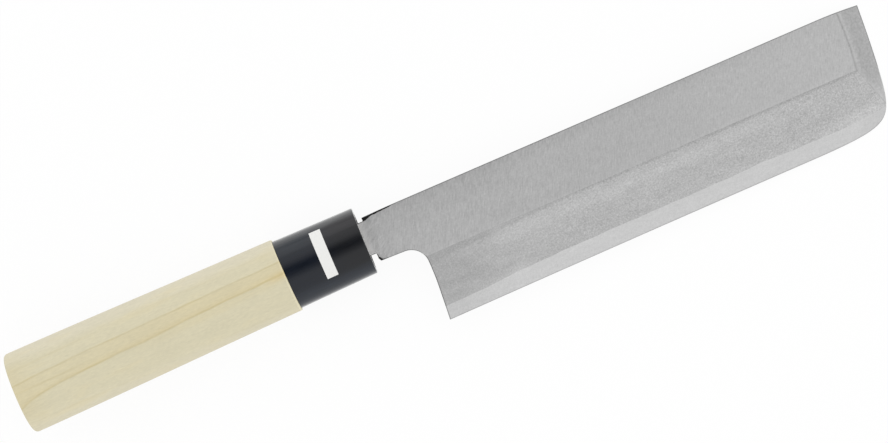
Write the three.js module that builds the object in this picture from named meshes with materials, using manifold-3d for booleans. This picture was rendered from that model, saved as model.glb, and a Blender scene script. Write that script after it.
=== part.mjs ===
// Usuba: a single bevel vegetable knife with a laminated blade, an oval wooden handle and a black collar.
// It lies on its back, bevel side up, as it rests on a table: on the blade end and a rim of the handle.
// Millimetres. Knife axes: x from butt to tip with 0 at the neck's rear step, y towards the spine with 0
// near the collar's centre line, z away from the blade's flat back.

import * as THREE from 'three';
import { mergeVertices } from 'three/addons/utils/BufferGeometryUtils.js';
import Module from 'manifold-3d';

const wasm = await Module();
wasm.setup();

const { lerp, degToRad } = THREE.MathUtils;

// Blade outline
const bladeReach = 182.57; // neck step to tip corner
const bladeHeight = 43.75; // spine to edge at the heel
const spineY = 8.1; // spine above the centre line
const spineDrop = 0.7; // fall of the spine at the tip corner
const spineDropLength = 16; // stretch over which the spine falls
const edgeRise = 0.86; // climb of the edge from heel to nose
const neckLength = 8.82; // neck step to the finger notch
const neckHeight = 16.41; // spine to underside where the neck meets the notch
const neckTaper = 0.27; // loss of neck height at the step
const stepChamferRun = 0.55; // cut lower corner of the neck step
const stepChamferRise = 0.95;
const notchRadius = 6.3; // round of the finger notch under the neck
const heelLean = 1.23; // the heel corner lies this far behind the notch's end
const heelUpright = 5.8; // upright stretch of the heel under the notch
const noseLength = 32.97; // tip corner back to where the edge starts to rise
const noseInset = 3.56; // tip corner to the top of the nose round, along the blade
const noseHeight = 9.27; // straight edge to the top of the nose round
const noseLean = degToRad(17.5); // slant of the blade end at the top of the nose round
const endLean = degToRad(3.5); // slant of the blade end at the tip corner
const noseEdgeHandle = 22.85; // pull of the nose curve along the edge
const noseEndHandle = 8.2; // pull of the nose curve down the blade end
const endLowHandle = 3.65; // pull of the end curve at the nose round
const endHighHandle = 19.44; // pull of the end curve at the tip corner

// Blade section
const neckThickness = 3.55;
const tipThickness = 2.85; // before the tip facet is ground
const edgeThickness = 0.2;
const flatHeight = 20.75; // spine down to the ridge
const facetWidth = 7.87; // tip facet along the spine
const facetSkew = 1.5; // the facet's line falls back this much from spine to ridge
const facetEndThickness = 0.5; // left at the tip corner
const steelThickness = 0.9; // hard plate on the back
const steelStart = 2.67; // plate begins this far ahead of the neck step
const weldGap = 0.05; // between plate and iron

// Shallow hollow on the back
const hollowDepth = 0.35;
const hollowSpineRim = 3;
const hollowEdgeRim = 2.5;
const hollowHeelRim = 6;
const hollowTipRim = 5;

// Tang
const tangLength = 92;
const tangTopStep = 1.32; // step at the spine side
const tangBottomStep = 2.85; // step at the edge side
const tangCheek = 0.15; // tang is thinner than the neck by this on each face
const tangEndHeight = 5;
const tangEndThickness = 2.2;
const tangRoot = 1.5; // length let into the neck

// Collar
const neckGap = 2.04; // bare tang between collar and neck step
const collarLength = 28.64;
const collarFrontHeight = 23.57;
const collarRearHeight = 24.5;
const collarFrontThickness = 18.8;
const collarRearThickness = 19.6;
const collarWall = 2.2; // at the front
const collarRound = 0.3; // front rim
const collarCentreY = 0.48; // centre of the front oval

// Wooden handle
const woodLength = 98.75;
const woodFrontHeight = 25.95;
const woodFrontThickness = 20.8;
const buttHeight = 28.4;
const buttThickness = 22.4;
const axisDrop = 1.38; // fall of the handle's axis from collar front to butt
const buttRound = 1.4;
const shoulderRound = 0.3;
const tenonRecess = 0.5; // tenon end behind the collar's front
const tenonRound = 0.4;
const ovalPower = 2.15; // 2 is an ellipse, more is fuller

// Paper label on the collar
const labelSetback = 12.24; // from the collar's front
const labelWidth = 4;
const labelThickness = 0.2;
const labelFrom = degToRad(38.5); // round the collar from its spine side
const labelTo = degToRad(123);

// Clearances
const fitGap = 0.3; // tenon in collar, tang in slot
const seatGap = 0.25; // collar against the wood's shoulder
const glueGap = 0.1; // label above the collar

// Facets
const ovalSteps = 64;
const roundSteps = 4;
const curveSteps = 14;
const labelSteps = 18;
const hollowLengthSteps = 24;
const hollowWidthSteps = 12;

// Derived places
const edgeY = spineY - bladeHeight;
const ridgeY = spineY - flatHeight;
const notchY = spineY - neckHeight;
const stepBottomY = notchY + neckTaper;
const heelX = neckLength + notchRadius - heelLean;
const heel = new THREE.Vector2(heelX, edgeY);
const tip = new THREE.Vector2(bladeReach, spineY - spineDrop);
const noseLow = new THREE.Vector2(bladeReach - noseLength, edgeY + edgeRise);
const noseHigh = new THREE.Vector2(bladeReach - noseInset, noseLow.y + noseHeight);
const collarFrontX = -neckGap;
const collarRearX = collarFrontX - collarLength;
const woodFrontX = collarRearX - seatGap;
const buttX = woodFrontX - woodLength;
const tenonFrontX = collarFrontX - tenonRecess;
const handleZ = neckThickness / 2;
const boreHeight = collarFrontHeight - 2 * collarWall;
const boreThickness = collarFrontThickness - 2 * collarWall;
const cutReach = 5; // cutting solids run this far past the blade
const cutTop = neckThickness + cutReach;
const grindAllowance = 1; // stock above the blade before it is ground

const bladeThicknessAt = (x) => lerp(neckThickness, tipThickness, x / bladeReach);
const axisYAt = (x) => collarCentreY - (axisDrop * (collarFrontX - x)) / (collarFrontX - buttX);

// Closed solid through a row of rings that all have the same number of points, with flat ends
function loft(rings) {
  const count = rings[0].length;
  const last = (rings.length - 1) * count;
  const index = [];
  for (let r = 0; r + 1 < rings.length; r++) {
    for (let i = 0; i < count; i++) {
      const a = r * count + i;
      const b = r * count + ((i + 1) % count);
      index.push(a, b, b + count, a, b + count, a + count);
    }
  }
  for (let i = 1; i + 1 < count; i++) {
    index.push(0, i + 1, i, last, last + i, last + i + 1);
  }
  const geometry = new THREE.BufferGeometry().setFromPoints(rings.flat());
  geometry.setIndex(signedVolume(rings.flat(), index) < 0 ? index.reverse() : index);
  return geometry;
}

function signedVolume(points, index) {
  let volume = 0;
  for (let i = 0; i < index.length; i += 3) {
    const [a, b, c] = [points[index[i]], points[index[i + 1]], points[index[i + 2]]];
    volume += a.dot(b.clone().cross(c)) / 6;
  }
  return volume;
}

// Cut and join
function toSolid(geometry) {
  const bare = geometry.clone();
  bare.deleteAttribute('normal');
  bare.deleteAttribute('uv');
  const merged = mergeVertices(bare);
  const vertProperties = new Float32Array(merged.attributes.position.array);
  const triVerts = new Uint32Array(merged.index.array);
  return new wasm.Manifold(new wasm.Mesh({ numProp: 3, vertProperties, triVerts }));
}

function toGeometry(solid) {
  const mesh = solid.getMesh();
  const geometry = new THREE.BufferGeometry();
  geometry.setAttribute('position', new THREE.BufferAttribute(mesh.vertProperties, 3));
  geometry.setIndex(new THREE.BufferAttribute(mesh.triVerts, 1));
  geometry.computeVertexNormals();
  return geometry;
}

// Blade blank: the outline seen from the bevel side, then three ground faces
const towards = (point, length, angle) =>
  point.clone().add(new THREE.Vector2(-Math.sin(angle), -Math.cos(angle)).multiplyScalar(length));

const edgeDirection = noseLow.clone().sub(heel).normalize();
const noseCurve = new THREE.CubicBezierCurve(
  noseLow,
  noseLow.clone().addScaledVector(edgeDirection, noseEdgeHandle),
  towards(noseHigh, noseEndHandle, noseLean),
  noseHigh,
);

function bladeOutline() {
  const endLow = towards(noseHigh, -endLowHandle, noseLean);
  const endHigh = towards(tip, endHighHandle, endLean);
  const shape = new THREE.Shape();
  shape.moveTo(0, spineY);
  shape.lineTo(0, stepBottomY + stepChamferRise);
  shape.lineTo(stepChamferRun, stepBottomY);
  shape.lineTo(neckLength, notchY);
  shape.absarc(neckLength, notchY - notchRadius, notchRadius, Math.PI / 2, 0, true);
  shape.lineTo(neckLength + notchRadius, notchY - notchRadius - heelUpright);
  shape.lineTo(heel.x, heel.y);
  shape.lineTo(noseLow.x, noseLow.y);
  shape.bezierCurveTo(noseCurve.v1.x, noseCurve.v1.y, noseCurve.v2.x, noseCurve.v2.y, noseHigh.x, noseHigh.y);
  shape.bezierCurveTo(endLow.x, endLow.y, endHigh.x, endHigh.y, tip.x, tip.y);
  shape.quadraticCurveTo(bladeReach - spineDropLength / 2, spineY, bladeReach - spineDropLength, spineY);
  return shape;
}

// Everything above the upper flat, which thins towards the tip
function flatCut() {
  const low = edgeY - cutReach;
  const high = spineY + cutReach;
  const rings = [-cutReach, bladeReach + cutReach].map((x) => {
    const z = bladeThicknessAt(x);
    return [[low, z], [high, z], [high, cutTop], [low, cutTop]].map((p) => new THREE.Vector3(x, ...p));
  });
  return loft(rings);
}

// Everything above the bevel, whose lines run from the ridge square down to the edge
function bevelCut() {
  const edgePoints = noseCurve.getPoints(curveSteps);
  const before = heel.clone().addScaledVector(edgeDirection, -cutReach);
  const beyond = new THREE.Vector2(bladeReach + cutReach, noseHigh.y);
  const rings = [before, heel, ...edgePoints, beyond].map(({ x, y }) => {
    const ridgeZ = bladeThicknessAt(x);
    const slope = (ridgeZ - edgeThickness) / (ridgeY - y);
    const low = y - cutReach;
    const high = ridgeY + cutReach;
    const lowZ = edgeThickness - slope * cutReach;
    const highZ = ridgeZ + slope * cutReach;
    return [[low, lowZ], [high, highZ], [high, cutTop], [low, cutTop]].map((p) => new THREE.Vector3(x, ...p));
  });
  return loft(rings);
}

// Everything above the facet ground across the tip
function facetCut() {
  const facetX = bladeReach - facetWidth;
  const slope = (bladeThicknessAt(facetX) - facetEndThickness) / facetWidth;
  const end = bladeReach + cutReach;
  const rings = [edgeY - cutReach, spineY + cutReach].map((y) => {
    const lineX = facetX - (facetSkew * (spineY - y)) / flatHeight;
    const startZ = bladeThicknessAt(facetX) + slope * cutReach;
    const endZ = bladeThicknessAt(facetX) - slope * (end - lineX);
    const start = lineX - cutReach;
    const corners = [[start, startZ], [end, endZ], [end, cutTop], [start, cutTop]];
    return corners.map(([x, z]) => new THREE.Vector3(x, y, z));
  });
  return loft(rings);
}

// Back of the blade up to a height, ahead of a place along it
function backSlab(startX, topZ) {
  const length = bladeReach + cutReach - startX;
  const width = bladeHeight + 2 * cutReach;
  const height = topZ + cutReach;
  const slab = new THREE.BoxGeometry(length, width, height);
  return slab.translate(startX + length / 2, edgeY - cutReach + width / 2, topZ - height / 2);
}

// Hollow ground in the back: rounded across, and flat along the blade until it runs out near each end
function hollowCut() {
  const fromX = neckLength + notchRadius + hollowHeelRim;
  const toX = bladeReach - noseInset - hollowTipRim;
  const fromY = noseLow.y + hollowEdgeRim;
  const toY = spineY - hollowSpineRim;
  const endPower = 8; // how squarely the hollow ends
  const overrun = 1.15; // past the rim, where the cut leaves the steel
  const rings = [];
  for (let i = 0; i <= hollowLengthSteps; i++) {
    const s = overrun * Math.sin(Math.PI * (i / hollowLengthSteps - 0.5));
    const x = lerp(fromX, toX, (s + 1) / 2);
    const ring = [];
    for (let j = 0; j <= hollowWidthSteps; j++) {
      const t = overrun * (2 * (j / hollowWidthSteps) - 1);
      const z = hollowDepth * (1 - t ** 2 - Math.abs(s) ** endPower);
      ring.push(new THREE.Vector3(x, lerp(fromY, toY, (t + 1) / 2), z));
    }
    ring.push(new THREE.Vector3(x, ring.at(-1).y, -cutReach), new THREE.Vector3(x, ring[0].y, -cutReach));
    rings.push(ring);
  }
  return loft(rings);
}

// Tapered tang, or with some growth the slot that takes it
function tangBar(grow) {
  const ring = (x, bottom, top, back, front) => [
    new THREE.Vector3(x, bottom - grow, back - grow),
    new THREE.Vector3(x, top + grow, back - grow),
    new THREE.Vector3(x, top + grow, front + grow),
    new THREE.Vector3(x, bottom - grow, front + grow),
  ];
  const endY = axisYAt(-tangLength);
  const halfHeight = tangEndHeight / 2;
  const halfThickness = tangEndThickness / 2;
  const rootBottom = stepBottomY + tangBottomStep;
  const rootTop = spineY - tangTopStep;
  const rootFront = bladeThicknessAt(tangRoot) - tangCheek;
  const endBack = handleZ - halfThickness;
  return loft([
    ring(tangRoot, rootBottom, rootTop, tangCheek, rootFront),
    ring(-tangLength - grow, endY - halfHeight, endY + halfHeight, endBack, handleZ + halfThickness),
  ]);
}

const blank = toSolid(new THREE.ExtrudeGeometry(bladeOutline(), {
  depth: neckThickness + grindAllowance,
  bevelEnabled: false,
  curveSegments: curveSteps,
}))
  .subtract(toSolid(flatCut()))
  .subtract(toSolid(bevelCut()))
  .subtract(toSolid(facetCut()));

const bladeIron = blank
  .subtract(toSolid(backSlab(steelStart - weldGap, steelThickness + weldGap)))
  .add(toSolid(tangBar(0)));

const edgeSteel = blank
  .intersect(toSolid(backSlab(steelStart, steelThickness)))
  .subtract(toSolid(hollowCut()));

// Handle and collar: ovals strung on one axis that falls slightly towards the butt
const rounded = (cosine) => Math.sign(cosine) * Math.abs(cosine) ** (2 / ovalPower);

function ovalPoint(x, height, thickness, angle) {
  const y = axisYAt(x) + (height / 2) * rounded(Math.cos(angle));
  const z = handleZ + (thickness / 2) * rounded(Math.sin(angle));
  return new THREE.Vector3(x, y, z);
}

function oval(x, height, thickness) {
  const ring = [];
  for (let i = 0; i < ovalSteps; i++) {
    ring.push(ovalPoint(x, height, thickness, (2 * Math.PI * i) / ovalSteps));
  }
  return ring;
}

// Steps of a quarter round edge, from the flat end to the full section
function quarterRound(radius) {
  const steps = [];
  for (let i = 0; i <= roundSteps; i++) {
    const angle = (Math.PI / 2) * (i / roundSteps);
    steps.push({ depth: radius * (1 - Math.cos(angle)), inset: radius * (1 - Math.sin(angle)) });
  }
  return steps;
}

function woodOval(x, inset) {
  const along = (x - buttX) / woodLength;
  const height = lerp(buttHeight, woodFrontHeight, along) - 2 * inset;
  const thickness = lerp(buttThickness, woodFrontThickness, along) - 2 * inset;
  return oval(x, height, thickness);
}

function tenonOval(x, inset) {
  const loss = 2 * (fitGap + inset);
  return oval(x, boreHeight - loss, boreThickness - loss);
}

function handleGeometry() {
  const butt = quarterRound(buttRound).map(({ depth, inset }) => woodOval(buttX + depth, inset));
  const shoulder = quarterRound(shoulderRound).reverse()
    .map(({ depth, inset }) => woodOval(woodFrontX - depth, inset));
  const tenonEnd = quarterRound(tenonRound).reverse()
    .map(({ depth, inset }) => tenonOval(tenonFrontX - depth, inset));
  const wood = loft([...butt, ...shoulder, tenonOval(woodFrontX, 0), ...tenonEnd]);
  return toGeometry(toSolid(wood).subtract(toSolid(tangBar(fitGap))));
}

function collarSize(x) {
  const along = (x - collarRearX) / collarLength;
  return [lerp(collarRearHeight, collarFrontHeight, along), lerp(collarRearThickness, collarFrontThickness, along)];
}

function collarOval(x, inset) {
  const [height, thickness] = collarSize(x);
  return oval(x, height - 2 * inset, thickness - 2 * inset);
}

function collarGeometry() {
  const front = quarterRound(collarRound).reverse()
    .map(({ depth, inset }) => collarOval(collarFrontX - depth, inset));
  const outside = loft([collarOval(collarRearX, 0), ...front]);
  const boreEnds = [collarRearX - cutReach, collarFrontX + cutReach];
  const bore = loft(boreEnds.map((x) => oval(x, boreHeight, boreThickness)));
  return toGeometry(toSolid(outside).subtract(toSolid(bore)));
}

function labelGeometry() {
  const frontX = collarFrontX - labelSetback;
  const rearX = frontX - labelWidth;
  const corner = (x, angle, rise) => {
    const [height, thickness] = collarSize(x);
    return ovalPoint(x, height + 2 * rise, thickness + 2 * rise, angle);
  };
  const outerRise = glueGap + labelThickness;
  const rings = [];
  for (let i = 0; i <= labelSteps; i++) {
    const angle = lerp(labelFrom, labelTo, i / labelSteps);
    rings.push([
      corner(rearX, angle, glueGap),
      corner(frontX, angle, glueGap),
      corner(frontX, angle, outerRise),
      corner(rearX, angle, outerRise),
    ]);
  }
  return loft(rings);
}

// Assembly
function piece(name, geometry, color, roughness, metalness) {
  const material = new THREE.MeshStandardMaterial({ color, roughness, metalness, flatShading: true });
  const mesh = new THREE.Mesh(geometry, material);
  mesh.name = name;
  return mesh;
}

const knife = new THREE.Group();
knife.add(
  piece('blade_iron', toGeometry(bladeIron), 0xb0b0b0, 0.4, 1),
  piece('edge_steel', toGeometry(edgeSteel), 0xc9c9c9, 0.3, 1),
  piece('handle', handleGeometry(), 0xd7d0b4, 0.75, 0),
  piece('collar', collarGeometry(), 0x2e3036, 0.35, 0),
  piece('label', labelGeometry(), 0xf0f0ee, 0.8, 0),
);

// Tilt at which the blade end and the lowest rim of the handle both touch the table, turned about the
// chord of the blade end
const endChord = tip.clone().sub(noseHigh).normalize();
const forward = new THREE.Vector2(endChord.y, -endChord.x);
const rims = [
  [collarFrontX - collarRound, collarFrontThickness],
  [woodFrontX - shoulderRound, woodFrontThickness],
  [buttX + buttRound, buttThickness],
];
const rimTilts = rims.map(([x, thickness]) => {
  const reach = forward.dot(tip) - forward.dot(new THREE.Vector2(x, axisYAt(x)));
  return Math.atan2(thickness / 2 - handleZ, reach);
});
knife.quaternion.setFromAxisAngle(new THREE.Vector3(endChord.x, endChord.y, 0), Math.max(...rimTilts));

// Origin under the middle of the knife, on the table
const object = new THREE.Group();
object.add(knife);
object.updateMatrixWorld(true);
const bounds = new THREE.Box3().setFromObject(knife, true);
const middle = bounds.getCenter(new THREE.Vector3());
knife.position.set(-middle.x, -middle.y, -bounds.min.z);

export default object;
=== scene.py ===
"""Looks of the usuba knife: a laminated blade with a ground ridge, a magnolia handle, a black collar and a
paper label, lying on a white table and seen from above."""

import math

import bmesh
import bpy
import numpy as np
from mathutils import Matrix, Quaternion, Vector


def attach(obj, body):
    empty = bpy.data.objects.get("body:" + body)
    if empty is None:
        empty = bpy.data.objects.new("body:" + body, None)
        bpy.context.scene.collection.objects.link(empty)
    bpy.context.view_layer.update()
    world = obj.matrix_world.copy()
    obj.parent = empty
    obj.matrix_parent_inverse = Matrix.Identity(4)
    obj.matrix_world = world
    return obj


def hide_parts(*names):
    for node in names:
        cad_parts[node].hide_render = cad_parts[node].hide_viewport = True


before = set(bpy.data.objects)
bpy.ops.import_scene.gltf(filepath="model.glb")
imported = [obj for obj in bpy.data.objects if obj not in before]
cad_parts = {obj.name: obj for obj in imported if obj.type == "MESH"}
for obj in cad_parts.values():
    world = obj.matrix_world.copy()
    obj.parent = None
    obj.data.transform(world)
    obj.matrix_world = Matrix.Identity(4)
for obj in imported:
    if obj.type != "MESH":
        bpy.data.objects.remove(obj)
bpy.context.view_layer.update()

MM = 0.001

# Blade outline, millimetres in the knife's own axes: x to the tip, y to the spine, z off the flat back
BLADE_REACH = 182.4
BLADE_HEIGHT = 43.75
SPINE_Y = 8.1
SPINE_DROP = 0.7
SPINE_DROP_LENGTH = 16.0
SPINE_NECK_DROP = 0.22
SPINE_NECK_LENGTH = 14.0
EDGE_RISE = 0.86
EDGE_HOLLOW = 0.14
EDGE_OVERRUN = 10.0  # the edge's line is drawn this far behind the heel
STEP_X = -0.17
NECK_LENGTH = 8.65
NECK_HEIGHT = 16.41
NECK_TAPER = 0.27
STEP_CHAMFER_RUN = 0.55
STEP_CHAMFER_RISE = 0.95
NOTCH_RADIUS = 6.3
HEEL_LEAN = 1.23
HEEL_LEAN_HEIGHT = 15.2
HEEL_BLEND = 0.3
NOSE_LENGTH = 32.97
NOSE_INSET = 3.56
NOSE_HEIGHT = 9.27
NOSE_LEAN = math.radians(17.5)
END_LEAN = math.radians(3.5)
NOSE_EDGE_HANDLE = 22.85
NOSE_END_HANDLE = 8.2
END_LOW_HANDLE = 3.65
END_HIGH_HANDLE = 19.44

# Blade section
NECK_THICKNESS = 3.55
TIP_THICKNESS = 2.85
EDGE_THICKNESS = 0.08
FLAT_HEIGHT = 20.75
FACET_WIDTH = 7.87
FACET_SKEW = 1.5
FACET_CURVE = 2.3
FACET_FOOT_Y = -27.4
FACET_END_THICKNESS = 0.5
STEEL_THICKNESS = 0.9
STEEL_START = 2.5
HOLLOW_DEPTH = 0.35
HOLLOW_SPINE_RIM = 3.0
HOLLOW_EDGE_RIM = 2.5
HOLLOW_HEEL_RIM = 6.0
HOLLOW_TIP_RIM = 5.0
HOLLOW_END_POWER = 8  # how squarely the hollow ends
HOLLOW_RIM_SOFT = 0.03
RIDGE_CRISP = 0.02
RIDGE_HEEL_SOFT = 0.16
RIDGE_SOFT_LENGTH = 40.0
EASED_EDGE = 0.3
BACK_EASED_EDGE = 0.12
EASED_SHARE = 0.4  # most of the blade's thickness that an eased rim takes
STEEL_LINE_Y = -29.1
STEEL_LINE_TIP_Y = -27.9
STEEL_LINE_RISE_X = 160.0
STEEL_SAG = 1.7
STEEL_SAG_X = 27.0
STEEL_SAG_BLEND = 3.0
STEEL_SAG_LENGTH = 16.0
STEEL_SWELL = 0.4
STEEL_SWELL_X = 131.0
STEEL_SWELL_LENGTH = 9.0
STEEL_WAVES = ((0.07, 2.9, 0.0), (0.05, 1.3, 1.0))  # height, length and start of each

# Tang
TANG_LENGTH = 92.0
TANG_TOP_STEP = 1.32
TANG_BOTTOM_STEP = 2.85
TANG_CHEEK = 0.15
TANG_FLUSH = 0.01
TANG_EASE = 0.25
TANG_END_HEIGHT = 5.0
TANG_END_THICKNESS = 2.2
TANG_ROOT = 1.5

# Collar
NECK_GAP = 2.21
COLLAR_LENGTH = 28.64
COLLAR_FRONT_HEIGHT = 23.57
COLLAR_REAR_HEIGHT = 24.5
COLLAR_FRONT_THICKNESS = 18.8
COLLAR_REAR_THICKNESS = 19.6
COLLAR_WALL = 2.2
COLLAR_ROUND = 0.3
COLLAR_REAR_EASE = 0.06
BORE_EASE = 0.3
COLLAR_CENTRE_Y = 0.35
COLLAR_RAISE = 0.13
WOOD_RAISE = 0.15
FRONT_SKEW = 0.019  # ends out of square: run along the knife by height
REAR_SKEW = -0.017
BUTT_SKEW = 0.008

# Wooden handle
WOOD_LENGTH = 98.75
WOOD_FRONT_HEIGHT = 25.95
WOOD_FRONT_THICKNESS = 20.8
BUTT_HEIGHT = 28.4
BUTT_THICKNESS = 22.4
AXIS_DROP = 1.25
BUTT_ROUND = 1.4
BUTT_INSETS = (8, 4, 1)  # rings on the flat of the butt
BUTT_BOW = 0.1
WOOD_BELLY = 0.2
BELLY_PEAK = 0.105  # greatest value of the belly's curve
SHOULDER_ROUND = 0.3
TENON_RECESS = 0.5
TENON_ROUND = 0.4
OVAL_POWER = 2.15

# Label and fits
LABEL_SETBACK = 12.24
LABEL_WIDTH = 4.0
LABEL_THICKNESS = 0.12
LABEL_FROM = math.radians(38.5)
LABEL_TO = math.radians(123)
LABEL_GLUE = 0.03
FIT_GAP = 0.3
SEAT_GAP = 0.25
JOINT_GAP = 0.06

# Steps of the meshes
CURVE_STEPS = 160
FLAT_ROWS = 23
BEVEL_ROWS = 25
BEVEL_RIDGE_ROWS = (0.975, 0.988)  # added close under the ridge
STEEL_ROWS = 9
STEP_COLUMNS = 7
NECK_COLUMNS = 9
NOTCH_COLUMNS = 14
FLAT_COLUMNS = 160
FACET_COLUMNS = 26
FACET_RIM = 0.15  # narrow column on either side of the facet's line
FACET_NEAR = 6.0  # stretch of finer columns before it
FACET_NEAR_COLUMNS = 25
HEEL_ROUNDS = 20  # tries that settle where the steel line meets the heel
OVAL_STEPS = 160
ROUND_STEPS = 6
BUTT_STEPS = 9
WOOD_RINGS = 80
COLLAR_ROUND_STEPS = 8
COLLAR_RINGS = 30
LABEL_STEPS = 60
LABEL_COLUMNS = 9

# Tolerances of the meshes
NEAR = 0.01  # points this close lie on a line
TOUCH = 0.001
MERGE = 0.002
SLIVER = 0.0005
PLAN_MERGE = 0.004
PLAN_SLIVER = 0.002
SHARP_ANGLE = 30
WOOD_SHARP_ANGLE = 40

# Places that follow from the sizes
EDGE_Y = SPINE_Y - BLADE_HEIGHT
RIDGE_Y = SPINE_Y - FLAT_HEIGHT
NOTCH_Y = SPINE_Y - NECK_HEIGHT
STEP_BOTTOM_Y = NOTCH_Y + NECK_TAPER
NOTCH_END_X = NECK_LENGTH + NOTCH_RADIUS
NOTCH_END_Y = NOTCH_Y - NOTCH_RADIUS
HEEL = np.array((NOTCH_END_X - HEEL_LEAN, EDGE_Y))
TIP = np.array((BLADE_REACH, SPINE_Y - SPINE_DROP))
NOSE_LOW = np.array((BLADE_REACH - NOSE_LENGTH, EDGE_Y + EDGE_RISE))
NOSE_HIGH = np.array((BLADE_REACH - NOSE_INSET, NOSE_LOW[1] + NOSE_HEIGHT))
COLLAR_FRONT_X = -NECK_GAP
COLLAR_REAR_X = COLLAR_FRONT_X - COLLAR_LENGTH
WOOD_FRONT_X = COLLAR_REAR_X - SEAT_GAP
BUTT_X = WOOD_FRONT_X - WOOD_LENGTH
HANDLE_Z = NECK_THICKNESS / 2
BORE_HEIGHT = COLLAR_FRONT_HEIGHT - 2 * COLLAR_WALL
BORE_THICKNESS = COLLAR_FRONT_THICKNESS - 2 * COLLAR_WALL


def knife_matrix():
    """Place of the knife's own axes in the frame: tilted about the chord of the blade end as it rests, and
    set by the tip, the spine and the back of the frame's steel plate."""
    chord = Vector((*(TIP - NOSE_HIGH), 0)).normalized()
    forward = Vector((chord.y, -chord.x, 0))
    rims = (
        (COLLAR_FRONT_X - COLLAR_ROUND, COLLAR_FRONT_THICKNESS),
        (WOOD_FRONT_X - SHOULDER_ROUND, WOOD_FRONT_THICKNESS),
        (BUTT_X + BUTT_ROUND, BUTT_THICKNESS),
    )
    tilts = []
    for x, thickness in rims:
        reach = forward.dot(Vector((*TIP, 0))) - forward.dot(Vector((x, axis_y(x), 0)))
        tilts.append(math.atan2(thickness / 2 - HANDLE_Z, reach))
    turn = Quaternion(chord, max(tilts)).to_matrix()
    plate = np.array([turn.transposed() @ v.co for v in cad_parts["edge_steel"].data.vertices])
    high, low = plate.max(0), plate.min(0)
    offset = Vector((high[0] - BLADE_REACH * MM, high[1] - SPINE_Y * MM, low[2]))
    return Matrix.Translation(turn @ offset) @ turn.to_4x4()


def axis_y(x):
    """Height of the handle's axis, which falls slightly towards the butt."""
    return COLLAR_CENTRE_Y - AXIS_DROP * (COLLAR_FRONT_X - x) / (COLLAR_FRONT_X - BUTT_X)


KNIFE = knife_matrix()


# Curves of the blade

def bezier(a, b, c, d):
    t = np.linspace(0, 1, CURVE_STEPS)[:, None]
    return (1 - t) ** 3 * a + 3 * (1 - t) ** 2 * t * b + 3 * (1 - t) * t**2 * c + t**3 * d


def down(lean):
    return np.array((-math.sin(lean), -math.cos(lean)))


def mix(a, b, way):
    return a + (b - a) * way


def soft_min(a, b, width):
    blend = np.maximum(width - np.abs(a - b), 0) / width
    return np.minimum(a, b) - blend**2 * width / 4


def along_edge():
    direction = NOSE_LOW - HEEL
    return direction / np.linalg.norm(direction)


NOSE = bezier(
    NOSE_LOW,
    NOSE_LOW + NOSE_EDGE_HANDLE * along_edge(),
    NOSE_HIGH + NOSE_END_HANDLE * down(NOSE_LEAN),
    NOSE_HIGH,
)
END = bezier(
    NOSE_HIGH,
    NOSE_HIGH - END_LOW_HANDLE * down(NOSE_LEAN),
    TIP + END_HIGH_HANDLE * down(END_LEAN),
    TIP,
)
LOWER = np.vstack((HEEL - EDGE_OVERRUN * along_edge(), NOSE))
FRONT = np.vstack((NOSE, END[1:]))


def edge_y(x):
    """Cutting edge, barely hollow in the middle, and level past the top of the nose round."""
    way = np.clip((x - HEEL[0]) / (NOSE_LOW[0] - HEEL[0]), 0, 1)
    return np.interp(x, LOWER[:, 0], LOWER[:, 1]) + EDGE_HOLLOW * 4 * way * (1 - way)


def end_x(y):
    """Blunt end of the blade from the nose up to the tip corner."""
    return np.interp(y, FRONT[:, 1], FRONT[:, 0])


def spine_y(x):
    """Spine: straight, with a slight fall to the step of the neck and to the tip corner."""
    past = np.clip((x - (BLADE_REACH - SPINE_DROP_LENGTH)) / SPINE_DROP_LENGTH, 0, 1)
    before = np.clip(1 - x / SPINE_NECK_LENGTH, 0, 1)
    return SPINE_Y - SPINE_DROP * past**2 - SPINE_NECK_DROP * before**2


def heel_x(y):
    """Rear border of the blade: the leaning heel, which turns upright, then the round of the finger notch."""
    lean = HEEL[0] + HEEL_LEAN * (y - EDGE_Y) / HEEL_LEAN_HEIGHT
    line = soft_min(lean, NOTCH_END_X, HEEL_BLEND)
    rise = np.clip(y - NOTCH_END_Y, 0, NOTCH_RADIUS)
    arc = NECK_LENGTH + np.sqrt(NOTCH_RADIUS**2 - rise**2)
    return np.where(y < NOTCH_END_Y, line, arc)


def neck_y(x):
    """Underside of the neck: the cut corner of the step, the straight, then the round of the notch."""
    places = (STEP_X, STEP_X + STEP_CHAMFER_RUN, NECK_LENGTH)
    straight = np.interp(x, places, (STEP_BOTTOM_Y + STEP_CHAMFER_RISE, STEP_BOTTOM_Y, NOTCH_Y))
    run = np.clip(x - NECK_LENGTH, 0, NOTCH_RADIUS)
    return np.where(x < NECK_LENGTH, straight, NOTCH_END_Y + np.sqrt(NOTCH_RADIUS**2 - run**2))


def facet_x(y):
    """Start of the tip facet: square to the spine above, slanting back to the ridge, then on to its foot."""
    fall = np.clip((SPINE_Y - y) / FLAT_HEIGHT, 0, 1)
    above = BLADE_REACH - FACET_WIDTH - FACET_SKEW * fall**FACET_CURVE
    return above + FACET_LEAN * np.maximum(RIDGE_Y - y, 0)


def steel_y(x):
    """Line where the hard steel comes out on the bevel: low at the heel, with a slight swell to the nose."""
    past_heel = STEEL_SAG_BLEND * np.logaddexp(0, (x - STEEL_SAG_X) / STEEL_SAG_BLEND)
    sag = STEEL_SAG * np.exp(-past_heel / STEEL_SAG_LENGTH)
    bulge = STEEL_SWELL * np.exp(-(((x - STEEL_SWELL_X) / STEEL_SWELL_LENGTH) ** 2))
    waver = sum(height * np.sin(x / length + start) for height, length, start in STEEL_WAVES)
    rise = np.clip((x - STEEL_LINE_RISE_X) / (STEEL_END[0] - STEEL_LINE_RISE_X), 0, 1)
    level = STEEL_LINE_Y - sag + bulge + waver
    return mix(level, STEEL_LINE_TIP_Y, rise**2)


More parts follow.
